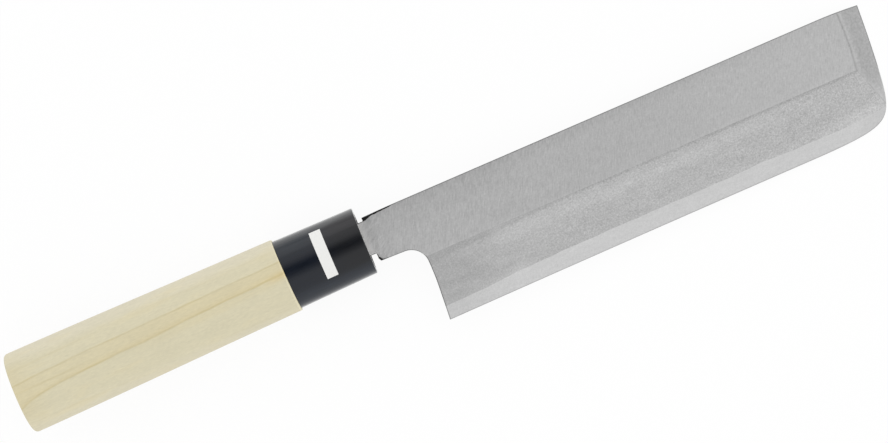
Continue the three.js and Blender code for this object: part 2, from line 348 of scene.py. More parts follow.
STEEL_END = np.array((end_x(STEEL_LINE_TIP_Y), STEEL_LINE_TIP_Y))
FACET_FOOT = np.array((end_x(FACET_FOOT_Y), FACET_FOOT_Y))
FACET_LEAN = float((FACET_FOOT[0] - (BLADE_REACH - FACET_WIDTH - FACET_SKEW)) / (RIDGE_Y - FACET_FOOT_Y))
NOTCH_RIDGE_X = float(heel_x(RIDGE_Y))


# Heights of the blade's faces

def flat_z(x):
    return NECK_THICKNESS + (TIP_THICKNESS - NECK_THICKNESS) * x / BLADE_REACH


def bevel_z(x, y):
    low = edge_y(x)
    slope = (flat_z(x) - EDGE_THICKNESS) / (RIDGE_Y - low)
    return EDGE_THICKNESS + (y - low) * slope


def facet_z(x, y):
    """Tip facet, falling from its start to the blunt end."""
    start = facet_x(y)
    slope = (flat_z(BLADE_REACH - FACET_WIDTH) - FACET_END_THICKNESS) / FACET_WIDTH
    return np.minimum(flat_z(start), bevel_z(start, y)) - slope * (x - start)


def front_z(x, y):
    """Bevel side: the ridge is soft at the heel and crisp towards the tip."""
    softness = RIDGE_CRISP + RIDGE_HEEL_SOFT * np.exp(-(x - NOTCH_END_X) / RIDGE_SOFT_LENGTH)
    ridge = soft_min(flat_z(x), bevel_z(x, y), softness)
    return np.where(x > facet_x(y), np.minimum(ridge, facet_z(x, y)), ridge)


def back_z(x, y):
    """Back: flat rims round a shallow hollow."""
    from_x, to_x = NOTCH_END_X + HOLLOW_HEEL_RIM, BLADE_REACH - NOSE_INSET - HOLLOW_TIP_RIM
    from_y, to_y = NOSE_LOW[1] + HOLLOW_EDGE_RIM, SPINE_Y - HOLLOW_SPINE_RIM
    along = 2 * (x - from_x) / (to_x - from_x) - 1
    across = 2 * (y - from_y) / (to_y - from_y) - 1
    hollow = HOLLOW_DEPTH * (1 - across**2 - np.abs(along) ** HOLLOW_END_POWER)
    return -soft_min(-hollow, np.zeros_like(hollow), HOLLOW_RIM_SOFT)


# Blade plan: patches of points that share their borders

def coons(s, t, bottom, top, left, right):
    """Points that fill four borders; s runs along bottom and top, t along left and right."""
    s, t = s[None, :, None], t[:, None, None]
    bottom, top = bottom[None], top[None]
    left, right = left[:, None], right[:, None]
    corners = (1 - s) * (1 - t) * bottom[:, :1] + s * (1 - t) * bottom[:, -1:]
    corners = corners + (1 - s) * t * top[:, :1] + s * t * top[:, -1:]
    return (1 - t) * bottom + t * top + (1 - s) * left + s * right - corners


def pair(x, y):
    return np.stack(np.broadcast_arrays(x, y), -1).astype(float)


def share(start, stop, count, first=None, last=None):
    """Even steps from start to stop with one narrow step at either end."""
    steps = np.linspace(start, stop, count)
    ends = [] if first is None else [start + first]
    ends += [] if last is None else [stop - last]
    return np.unique(np.concatenate((steps, ends)))


def blade_plan():
    """Patches of the blade seen from above, by name."""
    rim = EASED_EDGE
    rows = share(0, 1, FLAT_ROWS, rim / FLAT_HEIGHT, rim / FLAT_HEIGHT)
    foot = (FACET_FOOT_Y - STEEL_LINE_TIP_Y) / (RIDGE_Y - STEEL_LINE_TIP_Y)
    ridge_rows = np.unique(np.append(np.linspace(0, 1, BEVEL_ROWS), [foot, *BEVEL_RIDGE_ROWS]))
    edge_rows = np.linspace(0, 1, STEEL_ROWS)

    step_x = share(STEP_X, STEEL_START, STEP_COLUMNS, rim)
    step_x = np.unique(np.append(step_x, STEP_X + STEP_CHAMFER_RUN))
    notch_turn = math.asin((NOTCH_RIDGE_X - NECK_LENGTH) / NOTCH_RADIUS)
    notch_x = NECK_LENGTH + NOTCH_RADIUS * np.sin(np.linspace(0, 1, NOTCH_COLUMNS) * notch_turn)
    neck_x = np.unique(np.append(np.linspace(STEEL_START, NECK_LENGTH, NECK_COLUMNS), notch_x))
    flat_end = float(facet_x(RIDGE_Y))
    ridge_end = float(end_x(RIDGE_Y))
    flat_x = share(NOTCH_RIDGE_X, flat_end, FLAT_COLUMNS, rim, FACET_RIM)
    near_facet = np.linspace(flat_end - FACET_NEAR, flat_end, FACET_NEAR_COLUMNS)
    flat_x = np.unique(np.append(flat_x, near_facet))
    tip_x = share(flat_end, ridge_end, FACET_COLUMNS, FACET_RIM, rim)

    def column_patch(xs):
        low, high = neck_y(xs), spine_y(xs)
        return pair(xs[None], mix(low, high, rows[:, None]))

    ridge_row_y = mix(RIDGE_Y, SPINE_Y, rows)
    tip_row_y = mix(RIDGE_Y, TIP[1], rows)
    flat_s = (flat_x - flat_x[0]) / (flat_x[-1] - flat_x[0])
    tip_s = (tip_x - tip_x[0]) / (tip_x[-1] - tip_x[0])
    facet_top = float(facet_x(SPINE_Y))
    spine_flat = mix(NOTCH_RIDGE_X, facet_top, flat_s)
    spine_tip = mix(facet_top, TIP[0], tip_s)
    facet_line = pair(facet_x(ridge_row_y), mix(RIDGE_Y, spine_y(facet_top), rows))
    flat = coons(
        flat_s, rows, pair(flat_x, RIDGE_Y), pair(spine_flat, spine_y(spine_flat)),
        pair(NOTCH_RIDGE_X, ridge_row_y), facet_line)
    facet = coons(
        tip_s, rows, pair(tip_x, RIDGE_Y), pair(spine_tip, spine_y(spine_tip)),
        facet_line, pair(end_x(tip_row_y), tip_row_y))

    heel_steel_x = HEEL[0]
    for _ in range(HEEL_ROUNDS):
        heel_steel_y = float(steel_y(heel_steel_x))
        heel_steel_x = float(heel_x(heel_steel_y))
    steel_x = mix(heel_steel_x, STEEL_END[0], flat_s)
    steel_line = pair(steel_x, steel_y(steel_x))
    heel_rows = mix(heel_steel_y, RIDGE_Y, ridge_rows)
    end_rows = mix(STEEL_LINE_TIP_Y, RIDGE_Y, ridge_rows)
    bevel_end = np.minimum(facet_x(end_rows), end_x(end_rows))
    bevel = coons(
        flat_s, ridge_rows, steel_line, pair(flat_x, RIDGE_Y),
        pair(heel_x(heel_rows), heel_rows), pair(bevel_end, end_rows))
    foot_y = end_rows[ridge_rows >= foot]
    foot_t = (foot_y - foot_y[0]) / (foot_y[-1] - foot_y[0])
    facet_foot = coons(
        tip_s, foot_t, np.tile(FACET_FOOT, (len(tip_x), 1)), pair(tip_x, RIDGE_Y),
        pair(facet_x(foot_y), foot_y), pair(end_x(foot_y), foot_y))

    edge_x = mix(HEEL[0], STEEL_END[0], flat_s)
    low_rows = mix(EDGE_Y, heel_steel_y, edge_rows)
    edge = coons(
        flat_s, edge_rows, pair(edge_x, edge_y(edge_x)), steel_line,
        pair(heel_x(low_rows), low_rows), pair(STEEL_END[0], np.full(len(edge_rows), STEEL_END[1])))
    return {
        "step": column_patch(step_x), "neck": column_patch(neck_x), "flat": flat,
        "facet": facet, "facet_foot": facet_foot, "bevel": bevel, "edge": edge,
    }


# Meshes

def add_object(name, data):
    made = bpy.data.objects.new(name, data)
    bpy.context.scene.collection.objects.link(made)
    return made


def add_piece(name, vertices, faces, slots, materials, sharp_angle=SHARP_ANGLE):
    """A new object from points in the knife's axes, in millimetres."""
    mesh = bpy.data.meshes.new(name)
    mesh.from_pydata([tuple(v) for v in np.asarray(vertices) * MM], [], faces)
    for material in materials:
        mesh.materials.append(material)
    mesh.polygons.foreach_set("material_index", slots)
    work = bmesh.new()
    work.from_mesh(mesh)
    bmesh.ops.remove_doubles(work, verts=work.verts, dist=MERGE * MM)
    bmesh.ops.dissolve_degenerate(work, edges=work.edges, dist=SLIVER * MM)
    bmesh.ops.recalc_face_normals(work, faces=work.faces)
    work.to_mesh(mesh)
    work.free()
    mesh.transform(KNIFE)
    mesh.shade_smooth()
    mesh.set_sharp_from_angle(angle=math.radians(sharp_angle))
    return add_object(name, mesh)


def merge_plan(patches):
    """Joins patches into one flat net: its points, its faces with the patch of each, and its border."""
    net = bmesh.new()
    names = list(patches)
    for number, name in enumerate(names):
        grid = patches[name]
        rows, columns = grid.shape[:2]
        made = [[net.verts.new((*grid[i, j], 0)) for j in range(columns)] for i in range(rows)]
        for i in range(rows - 1):
            for j in range(columns - 1):
                corners = (made[i][j], made[i][j + 1], made[i + 1][j + 1], made[i + 1][j])
                net.faces.new(corners).material_index = number
    bmesh.ops.remove_doubles(net, verts=net.verts, dist=PLAN_MERGE)
    bmesh.ops.dissolve_degenerate(net, edges=net.edges, dist=PLAN_SLIVER)
    net.verts.index_update()
    points = np.array([v.co[:2] for v in net.verts])
    faces = [([v.index for v in f.verts], names[f.material_index]) for f in net.faces]
    border = []
    for edge in net.edges:
        if edge.is_boundary:
            loop = edge.link_loops[0]
            border.append((loop.vert.index, loop.link_loop_next.vert.index))
    net.free()
    return points, faces, border


def plate(patches, top, bottom, ease_top, ease_bottom, top_slots, bottom_slot, wall_slot):
    """Closed plate over a plan. Its rim is eased where the ease functions give more than nothing."""
    points, faces, border = merge_plan(patches)
    x, y = points[:, 0], points[:, 1]
    rim = np.zeros(len(points), bool)
    rim[[i for edge in border for i in edge]] = True
    ease = np.where(rim, ease_top(x, y), 0)
    top_z = top(x, y) - ease
    bottom_z = bottom(x, y) + np.where(rim, ease_bottom(x, y), 0)
    count = len(points)
    upper = np.column_stack((x, y, top_z))
    lower = np.column_stack((x, y, np.minimum(bottom_z, top_z)))
    vertices = np.vstack((upper, lower))
    made = [corners for corners, _ in faces]
    slots = [wall_slot if max(ease[corners]) > 0 else top_slots[name] for corners, name in faces]
    made += [[count + i for i in reversed(corners)] for corners, _ in faces]
    slots += [bottom_slot] * len(faces)
    made += [[b, a, count + a, count + b] for a, b in border]
    slots += [wall_slot] * len(border)
    return vertices, made, slots


def bar(rings):
    """Closed bar through rings of points with flat ends."""
    count = len(rings[0])
    vertices = np.vstack(rings)
    faces = [list(range(count)), [len(vertices) - 1 - i for i in range(count)]]
    faces += strips(len(rings), count)
    return vertices, faces


def strips(ring_count, count, closed=False):
    """Faces between neighbouring rings, and from the last to the first of a closed row."""
    faces = []
    for r in range(ring_count if closed else ring_count - 1):
        here, there = r * count, ((r + 1) % ring_count) * count
        for i in range(count):
            after = (i + 1) % count
            faces.append([here + i, here + after, there + after, there + i])
    return faces


def tang_ring(x, grow):
    """Section of the tang, or of its slot with some growth, as bottom, top, back and front."""
    way = (x - TANG_ROOT) / (-TANG_LENGTH - TANG_ROOT)
    end_y = axis_y(-TANG_LENGTH)
    root = (
        STEP_BOTTOM_Y + TANG_BOTTOM_STEP, SPINE_Y - TANG_TOP_STEP,
        TANG_CHEEK, flat_z(TANG_ROOT) - TANG_FLUSH,
    )
    end = (
        end_y - TANG_END_HEIGHT / 2, end_y + TANG_END_HEIGHT / 2,
        HANDLE_Z - TANG_END_THICKNESS / 2, HANDLE_Z + TANG_END_THICKNESS / 2,
    )
    low, high, back, front = (mix(a, b, way) for a, b in zip(root, end))
    return low - grow, high + grow, back - grow, front + grow


def tang_bar():
    rings = []
    ease = TANG_EASE
    for x in (TANG_ROOT, COLLAR_FRONT_X, -TANG_LENGTH / 2, -TANG_LENGTH):
        low, high, back, front = tang_ring(x, 0)
        rings.append(np.array((
            (x, low + ease, back), (x, high - ease, back), (x, high, back + ease), (x, high, front - ease),
            (x, high - ease, front), (x, low + ease, front), (x, low, front - ease), (x, low, back + ease),
        )))
    return bar(rings)


def on_steel_line(x, y):
    return np.abs(y - steel_y(x)) < NEAR


def weld_z(x, y):
    """Face between iron and steel; it rises to the bevel where the steel comes out."""
    surface = front_z(x, y)
    level = np.where(on_steel_line(x, y), surface, np.minimum(STEEL_THICKNESS, surface / 2))
    return np.where(x < STEEL_START - TOUCH, 0.0, level)


def iron_ease(x, y):
    """Eased rim of the iron; none on the steel line or where the tang leaves the neck."""
    low, high, _, _ = tang_ring(STEP_X, 0)
    plain = on_steel_line(x, y) | ((x < STEP_X + TOUCH) & (y > low) & (y < high))
    return np.where(plain, 0, np.minimum(EASED_EDGE, EASED_SHARE * front_z(x, y)))


def no_ease(x, y):
    return np.zeros_like(x)


def below_steel_line(x, y):
    return y < steel_y(x) - NEAR / 2


def steel_ease(x, y):
    """Eased rim of the steel on the heel."""
    on_heel = (x < heel_x(y) + NEAR) & below_steel_line(x, y)
    return np.where(on_heel, np.minimum(EASED_EDGE / 2, EASED_SHARE * front_z(x, y)), 0)


def steel_back_ease(x, y):
    return np.where(y < edge_y(x) + NEAR, 0, BACK_EASED_EDGE)


def make_blade_iron(materials):
    flat, bevel, facet, side = range(len(materials))
    tops = {"step": flat, "neck": flat, "flat": flat, "facet": facet, "facet_foot": facet, "bevel": bevel}
    plan = blade_plan()
    patches = {name: plan[name] for name in tops}
    vertices, faces, slots = plate(patches, front_z, weld_z, iron_ease, no_ease, tops, side, side)
    more, more_faces = tang_bar()
    faces = faces + [[i + len(vertices) for i in face] for face in more_faces]
    tang_sides = [flat, side, side, side]
    slots = slots + [side, side] + tang_sides * ((len(more_faces) - 2) // len(tang_sides))
    return add_piece("iron_body", np.vstack((vertices, more)), faces, slots, materials)


def make_edge_steel(materials):
    bright, back, side = range(len(materials))
    plan = blade_plan()
    patches = {name: plan[name] for name in ("neck", "flat", "facet", "facet_foot", "bevel", "edge")}

    def top(x, y):
        return np.where(below_steel_line(x, y), front_z(x, y), weld_z(x, y))

    tops = dict.fromkeys(patches, bright)
    vertices, faces, slots = plate(patches, top, back_z, steel_ease, steel_back_ease, tops, back, side)
    return add_piece("steel_plate", vertices, faces, slots, materials)


# Handle and collar

ANGLES = np.linspace(0, 2 * math.pi, OVAL_STEPS, endpoint=False)


def swell(value):
    return np.sign(value) * np.abs(value) ** (2 / OVAL_POWER)


def oval(x, height, thickness, angles=ANGLES):
    """Section of the handle; the ends of the collar and of the wood stand a little out of square."""
    rise = height / 2 * swell(np.cos(angles))
    z = HANDLE_Z + thickness / 2 * swell(np.sin(angles))
    skew = np.interp(x, (BUTT_X, COLLAR_REAR_X, COLLAR_FRONT_X), (BUTT_SKEW, REAR_SKEW, FRONT_SKEW))
    return np.column_stack((x + skew * rise, axis_y(x) + rise, z))


def quarter_round(radius, steps=ROUND_STEPS):
    """Depth and inset of each step of a rounded edge, from the flat end to the full section."""
    turns = np.linspace(0, math.pi / 2, steps)
    return [(radius * (1 - math.cos(a)), radius * (1 - math.sin(a))) for a in turns]


def wood_oval(x, inset):
    way = (x - BUTT_X) / WOOD_LENGTH
    belly = WOOD_BELLY * way * (1 - way) ** 3 / BELLY_PEAK
    height = mix(BUTT_HEIGHT, WOOD_FRONT_HEIGHT, way) + belly
    thickness = mix(BUTT_THICKNESS, WOOD_FRONT_THICKNESS, way) + belly
    return oval(x, height - 2 * inset, thickness - 2 * inset) + (0, WOOD_RAISE * way, 0)


def slot_ring(x):
    """Mouth or floor of the tang's slot, with one point on it for each point of an oval."""
    low, high, back, front = tang_ring(x, FIT_GAP)
    y, z = (low + high) / 2, (back + front) / 2
    across, thick = np.cos(ANGLES) / (high - y), np.sin(ANGLES) / (front - z)
    reach = 1 / np.maximum(np.abs(across), np.abs(thick))
    return np.column_stack((np.full(OVAL_STEPS, x), y + reach * np.cos(ANGLES), z + reach * np.sin(ANGLES)))


def butt_rings():
    """End of the handle with its rounded edge, bowed out a little in the middle."""
    rings = [wood_oval(BUTT_X, BUTT_ROUND + inset) for inset in BUTT_INSETS]
    rings += [wood_oval(BUTT_X + depth, inset) for depth, inset in quarter_round(BUTT_ROUND, BUTT_STEPS)]
    for ring in rings:
        across = (ring[:, 1] - axis_y(BUTT_X)) * 2 / BUTT_HEIGHT
        ring[:, 0] -= BUTT_BOW * (1 - across**2)
    return rings


def bore_oval(x, grow):
    """Bore of the collar, or the tenon in it with a negative growth."""
    return oval(x, BORE_HEIGHT + 2 * grow, BORE_THICKNESS + 2 * grow)


def make_handle(materials):
    tenon_front = COLLAR_FRONT_X - TENON_RECESS
    rings = butt_rings()
    body_from, body_to = BUTT_X + BUTT_ROUND, WOOD_FRONT_X - SHOULDER_ROUND
    rings += [wood_oval(x, 0) for x in np.linspace(body_from, body_to, WOOD_RINGS)[1:-1]]
    shoulder_x = COLLAR_REAR_X - JOINT_GAP
    shoulder = reversed(quarter_round(SHOULDER_ROUND))
    rings += [wood_oval(shoulder_x - depth, inset) for depth, inset in shoulder]
    rings += [bore_oval(x, -FIT_GAP) for x in (shoulder_x, tenon_front - TENON_ROUND)]
    rings += [bore_oval(tenon_front, -FIT_GAP - TENON_ROUND)]
    rings += [slot_ring(x) for x in (tenon_front, -TANG_LENGTH - FIT_GAP)]
    vertices, faces = bar(rings)
    return add_piece("wood_handle", vertices, faces, [0] * len(faces), materials, WOOD_SHARP_ANGLE)


def collar_size(x):
    way = (x - COLLAR_REAR_X) / COLLAR_LENGTH
    height = mix(COLLAR_REAR_HEIGHT, COLLAR_FRONT_HEIGHT, way)
    return height, mix(COLLAR_REAR_THICKNESS, COLLAR_FRONT_THICKNESS, way)


def collar_oval(x, inset, angles=ANGLES):
    height, thickness = collar_size(x)
    return oval(x, height - 2 * inset, thickness - 2 * inset, angles) + (0, COLLAR_RAISE, 0)


def make_collar(materials):
    rings = [collar_oval(COLLAR_REAR_X, COLLAR_REAR_EASE)]
    body_from, body_to = COLLAR_REAR_X + COLLAR_REAR_EASE, COLLAR_FRONT_X - COLLAR_ROUND
    rings += [collar_oval(x, 0) for x in np.linspace(body_from, body_to, COLLAR_RINGS)[:-1]]
    front = reversed(quarter_round(COLLAR_ROUND, COLLAR_ROUND_STEPS))
    rings += [collar_oval(COLLAR_FRONT_X - depth, inset) for depth, inset in front]
    rings += [bore_oval(COLLAR_FRONT_X, BORE_EASE)]
    rings += [bore_oval(x, 0) for x in (COLLAR_FRONT_X - BORE_EASE, COLLAR_REAR_X)]
    faces = strips(len(rings), OVAL_STEPS, closed=True)
    return add_piece("black_collar", np.vstack(rings), faces, [0] * len(faces), materials)


def make_label(materials):
    angles = np.linspace(LABEL_FROM, LABEL_TO, LABEL_STEPS)
    front = COLLAR_FRONT_X - LABEL_SETBACK
    xs = np.linspace(front - LABEL_WIDTH, front, LABEL_COLUMNS)
    under = [collar_oval(x, -LABEL_GLUE, angles) for x in xs]
    over = [collar_oval(x, -LABEL_GLUE - LABEL_THICKNESS, angles) for x in reversed(xs)]
    loops = np.stack(under + over)
    rings = [loops[:, i] for i in range(len(angles))]
    count, last = len(rings[0]), (len(rings) - 1) * len(rings[0])
    faces = strips(len(rings), count)
    for i in range(len(xs) - 1):
        cap = [i, i + 1, count - 2 - i, count - 1 - i]
        faces += [cap, [last + k for k in reversed(cap)]]
    return add_piece("paper_label", np.vstack(rings), faces, [0] * len(faces), materials)


# Materials

def add_node(tree, kind, **settings):
    made = tree.nodes.new(kind)
    for key, value in settings.items():
        setattr(made, key, value)
    return made


class Finish:
    """A procedural material. Its maps read the knife's own axes in millimetres."""

    def __init__(self, name, metallic, roughness, colour):
        self.material = bpy.data.materials.new(name)
        self.material.use_nodes = True
        self.tree = self.material.node_tree
        self.shader = self.tree.nodes["Principled BSDF"]
        self.shader.inputs["Metallic"].default_value = metallic
        self.shader.inputs["Roughness"].default_value = roughness
        self.shader.inputs["Base Color"].default_value = (*colour, 1)
        place = self.node("ShaderNodeTexCoord").outputs["Object"]
        self.mm = self.mapped(place, KNIFE.translation, KNIFE.to_euler(), (MM, MM, MM))
        split = self.node("ShaderNodeSeparateXYZ")
        self.put(self.mm, split.inputs[0])
        self.x, self.y, self.z = split.outputs

    def node(self, kind, **settings):
        return add_node(self.tree, kind, **settings)

    def put(self, value, socket):
        if isinstance(value, bpy.types.NodeSocket):
            self.tree.links.new(value, socket)
        else:
            socket.default_value = value

    def mapped(self, place, location, rotation, scale):
        made = self.node("ShaderNodeMapping", vector_type="TEXTURE")
        for socket, value in zip(made.inputs, (place, location, rotation, scale)):
            self.put(value, socket)
        return made.outputs[0]

    def math(self, operation, a, b=0.0, clamp=False):
        made = self.node("ShaderNodeMath", operation=operation, use_clamp=clamp)
        self.put(a, made.inputs[0])
        self.put(b, made.inputs[1])
        return made.outputs[0]

    def chain(self, operation, values):
        total = values[0]
        for value in values[1:]:
            total = self.math(operation, total, value)
        return total

    def add(self, *values):
        return self.chain("ADD", values)

    def times(self, *values):
        return self.chain("MULTIPLY", values)

    def minus(self, a, b):
        return self.math("SUBTRACT", a, b)

    def most(self, a, b):
        return self.math("MAXIMUM", a, b)

    def ramp(self, value, from_low, from_high, to_low=0.0, to_high=1.0):
        """Smooth rise or fall of a value between two places."""
        made = self.node("ShaderNodeMapRange", interpolation_type="SMOOTHSTEP")
        for socket, number in zip(made.inputs, (value, from_low, from_high, to_low, to_high)):
            self.put(number, socket)
        return made.outputs[0]

    def bump_at(self, value, centre, width):
        """One on a line, falling to nothing at a distance from it."""
        away = self.math("ABSOLUTE", self.minus(value, centre))
        return self.ramp(away, 0.0, width, 1.0, 0.0)

    def noise(self, size, detail=2.0, slant=0.0, seed=0.0):
        """Noise with features of a length, width and depth, turned in the plane of the blade."""
        made = self.node("ShaderNodeTexNoise")
        made.inputs["Scale"].default_value = 1.0
        made.inputs["Detail"].default_value = detail
        turned = self.mapped(self.mm, (seed, seed, seed), (0, 0, slant), size)
        self.put(turned, made.inputs["Vector"])
        return self.minus(made.outputs[0], 0.5)

    def blend(self, factor, a, b):
        made = self.node("ShaderNodeMix", data_type="RGBA")
        self.put(factor, made.inputs[0])
        first, second = (socket for socket in made.inputs if socket.type == "RGBA")
        self.put((*a, 1) if isinstance(a, tuple) else a, first)
        self.put((*b, 1) if isinstance(b, tuple) else b, second)
        return next(socket for socket in made.outputs if socket.type == "RGBA")

    def shade(self, colour, level):
        """Colour made lighter by a level above nothing, or darker by one below it."""
        made = self.node("ShaderNodeVectorMath", operation="SCALE")
        self.put(colour, made.inputs[0])
        self.put(self.add(level, 1.0), made.inputs["Scale"])
        return made.outputs[0]

    def colour(self, value):
        self.put(value, self.shader.inputs["Base Color"])

    def roughness(self, *parts):
        self.put(self.add(*parts), self.shader.inputs["Roughness"])

    def relief(self, height, depth):
        """Surface relief: a height map and its depth in millimetres."""
        made = self.node("ShaderNodeBump")
        made.inputs["Distance"].default_value = depth * MM
        self.put(height, made.inputs["Height"])
        self.put(made.outputs[0], self.shader.inputs["Normal"])


def grey(value):
    return (value, value, value)


SCRATCH_SLANT = math.radians(64)
COARSE_SLANT = math.radians(38)
FACET_SLANT = math.radians(78)
BACK_SLANT = math.radians(7)
FLAT_GREY = 0.524
BEVEL_GREY = 0.505
FACET_GREY = 0.415
EDGE_GREY = 0.625
SIDE_GREY = 0.25
STEEL_SIDE_GREY = 0.34
BACK_GREY = 0.52
HOLLOW_GREY = 0.5
SCALE_BLACK = 0.022


def scale_mask(f):
    """Forge scale left on the spine side of the neck and on the cut corner of its step."""
    height = f.add(f.y, f.times(f.noise((1.6, 0.5, 0.5)), 0.6))
    line = f.add(
        f.ramp(f.x, 0.2, 3.2, SPINE_Y - 1.5, SPINE_Y - 0.73),
        f.ramp(f.x, 4.0, 12.0, 0.0, 0.5),
    )
    end = f.add(f.x, f.times(f.noise((2.5, 0.6, 0.6), 3, 0.0, 33), 9.0))
    spine = f.times(f.ramp(f.minus(height, line), -0.2, 0.1), f.ramp(end, 9.0, 13.0, 1.0, 0.0))
    corner = f.ramp(f.add(f.times(f.x, 1.25), height), STEP_BOTTOM_Y + 2.0, STEP_BOTTOM_Y + 1.5)
    below = f.ramp(height, STEP_BOTTOM_Y + 0.55, STEP_BOTTOM_Y + 0.2)
    low = f.times(
        f.most(corner, f.times(below, f.ramp(f.x, 0.8, 3.2, 1.0, 0.0))),
        f.ramp(f.x, 2.0, 3.2, 1.0, 0.0),
        f.ramp(f.x, STEP_X - 0.1, STEP_X + 0.05),
        f.ramp(height, STEP_BOTTOM_Y + 1.9, STEP_BOTTOM_Y + 1.4),
    )
    return f.most(spine, low)


def facet_start(f):
    """Distance past the line where the tip facet starts, and depth below the ridge."""
    fall = f.math("DIVIDE", f.minus(SPINE_Y, f.y), FLAT_HEIGHT, clamp=True)
    back = f.times(f.math("POWER", fall, FACET_CURVE), FACET_SKEW)
    below = f.most(f.minus(RIDGE_Y, f.y), 0.0)
    past = f.add(f.minus(f.x, BLADE_REACH - FACET_WIDTH), back)
    return f.minus(past, f.times(below, FACET_LEAN)), below


def flat_finish():
    """Ground flat above the ridge: short slanted hairlines, coarser at the neck, with scale left there, and
    painted shade and light along the blade, at the ridge, by the collar and where the facet starts.
    """
    f = Finish("ground_flat", 1.0, 0.45, grey(FLAT_GREY))
    fine = f.noise((2.2, 0.32, 1.0), 2, SCRATCH_SLANT)
    strokes = f.noise((3.0, 0.4, 1.0), 1, SCRATCH_SLANT - 0.1, 7)
    grain = f.noise((0.6, 0.6, 0.6), 1, 0.0, 8)
    cloud = f.noise((22.0, 9.0, 9.0), 2, 0.2, 3)
    coarse = f.times(f.noise((2.2, 0.45, 1.0), 2, COARSE_SLANT, 5), f.ramp(f.x, 2.0, 8.0, 1.0, 0.0))
    rim = f.times(f.ramp(f.y, SPINE_Y - 4.5, SPINE_Y), f.ramp(f.x, 110.0, 165.0, -0.075, -0.03))
    # painted shade: the flat darker towards the heel
    heel = f.times(f.ramp(f.y, -4.0, 2.0), f.ramp(f.x, 35.0, 62.0, -0.05, 0.0))
    # painted highlight along the flat just above the ridge
    painted_crest_highlight = f.times(f.bump_at(f.y, RIDGE_Y + 0.6, 0.9), f.ramp(f.x, 70.0, 150.0, 0.0, 0.025))
    past, _ = facet_start(f)
    level = f.add(
        f.times(fine, 0.4),
        f.times(f.ramp(strokes, 0.14, 0.28), 0.08),
        f.times(grain, 0.24),
        f.times(cloud, 0.05),
        f.times(coarse, 0.5),
        rim,
        heel,
        painted_crest_highlight,
        # painted light: the flat lighter towards the tip
        f.ramp(f.x, 80.0, 170.0, 0.0, 0.07),
        # painted light that lifts the collar's shade off the tang stub
        f.ramp(f.x, -2.3, 0.8, 0.7, 0.0),
        # painted shade in the crease where the tip facet starts
        f.times(f.bump_at(past, 0.0, 0.5), -0.2),
    )
    scale = scale_mask(f)
    f.colour(f.blend(scale, f.shade(grey(FLAT_GREY), level), grey(SCALE_BLACK)))
    f.roughness(f.times(scale, 0.2), f.times(fine, 0.12), 0.45)
    f.relief(f.add(fine, f.times(coarse, 2.0)), 0.004)
    return f.material


def bevel_finish():
    """Bevel between ridge and steel: a misty grain, fainter at the heel, with painted shade that darkens it
    towards the heel, a painted shaded band under the ridge that widens towards the heel, and a painted
    highlight band below it."""
    f = Finish("misty_bevel", 1.0, 0.48, grey(BEVEL_GREY))
    grain = f.noise((0.6, 0.56, 0.56), 1)
    fine = f.noise((0.45, 0.45, 0.45), 1, 0.0, 2)
    mist = f.noise((7.0, 3.0, 3.0), 2, 0.0, 4)
    below = f.minus(RIDGE_Y, f.add(f.y, f.times(mist, 0.25)))
    past = f.minus(below, f.ramp(f.x, 6.0, 64.0, 3.45, 0.88))
    depth = f.add(f.ramp(f.x, 30.0, 52.0, -0.005, -0.12), f.ramp(f.x, 85.0, 120.0, 0.0, -0.025))
    # painted shade: a dark band under the ridge, wider towards the heel
    dark = f.times(f.ramp(past, -0.45, 0.45, 1.0, 0.0), depth)
    soft = f.times(f.bump_at(below, 0.0, 0.8), f.ramp(f.x, 20.0, 50.0, 0.045, 0.0))
    # painted highlight: a thin bright line at the band's lower border near the heel
    painted_gleam_highlight = f.times(f.bump_at(past, 0.35, 0.4), f.bump_at(f.x, 28.5, 6.0), 0.06)
    # painted highlight: a light band some millimetres under the ridge, fading before the tip
    light = f.times(
        f.bump_at(below, f.ramp(f.x, 100.0, 150.0, 4.5, 2.8), 3.4),
        f.ramp(f.x, 125.0, 165.0, 0.07, 0.0),
        f.ramp(f.x, 16.0, 40.0, 0.3, 1.0),
    )
    # painted shade: the bevel darker towards the heel
    heel = f.ramp(f.add(f.x, f.times(mist, 8.0)), 25.0, 46.0, -0.155, 0.0)
    low = f.add(f.ramp(f.x, 60.0, 100.0, -0.035, 0.0), f.ramp(f.x, 20.0, 45.0, 0.08, 0.0))
    low = f.times(f.ramp(below, 8.0, 14.0), low)
    nose = f.times(f.ramp(f.y, -22.0, -27.0), f.ramp(f.x, 148.0, 170.0, 0.0, 0.11))
    above_steel = f.add(f.times(f.bump_at(f.x, 37.0, 20.0), 0.085), f.ramp(f.x, 100.0, 120.0, 0.0, 0.035))
    above_steel = f.times(f.ramp(below, 13.2, 16.0), above_steel)
    scratch = f.bump_at(f.minus(f.x, f.times(f.y, 0.4)), 175.35, 0.3)
    scratch = f.times(scratch, f.bump_at(f.y, -21.8, 4.6), 0.09)
    rough = f.times(f.ramp(f.x, 18.0, 75.0, 0.7, 1.0), f.ramp(f.x, 110.0, 160.0, 1.0, 1.15))
    speckle = f.times(f.add(f.times(grain, 0.5), f.times(fine, 0.5)), rough)
    level = f.add(
        speckle, f.times(mist, 0.2), dark, soft, painted_gleam_highlight, light, heel, low, nose, above_steel, scratch)
    f.colour(f.shade(grey(BEVEL_GREY), level))
    f.roughness(f.times(grain, 0.1), 0.48)
    f.relief(f.add(grain, f.times(fine, 0.6)), 0.012)
    return f.material


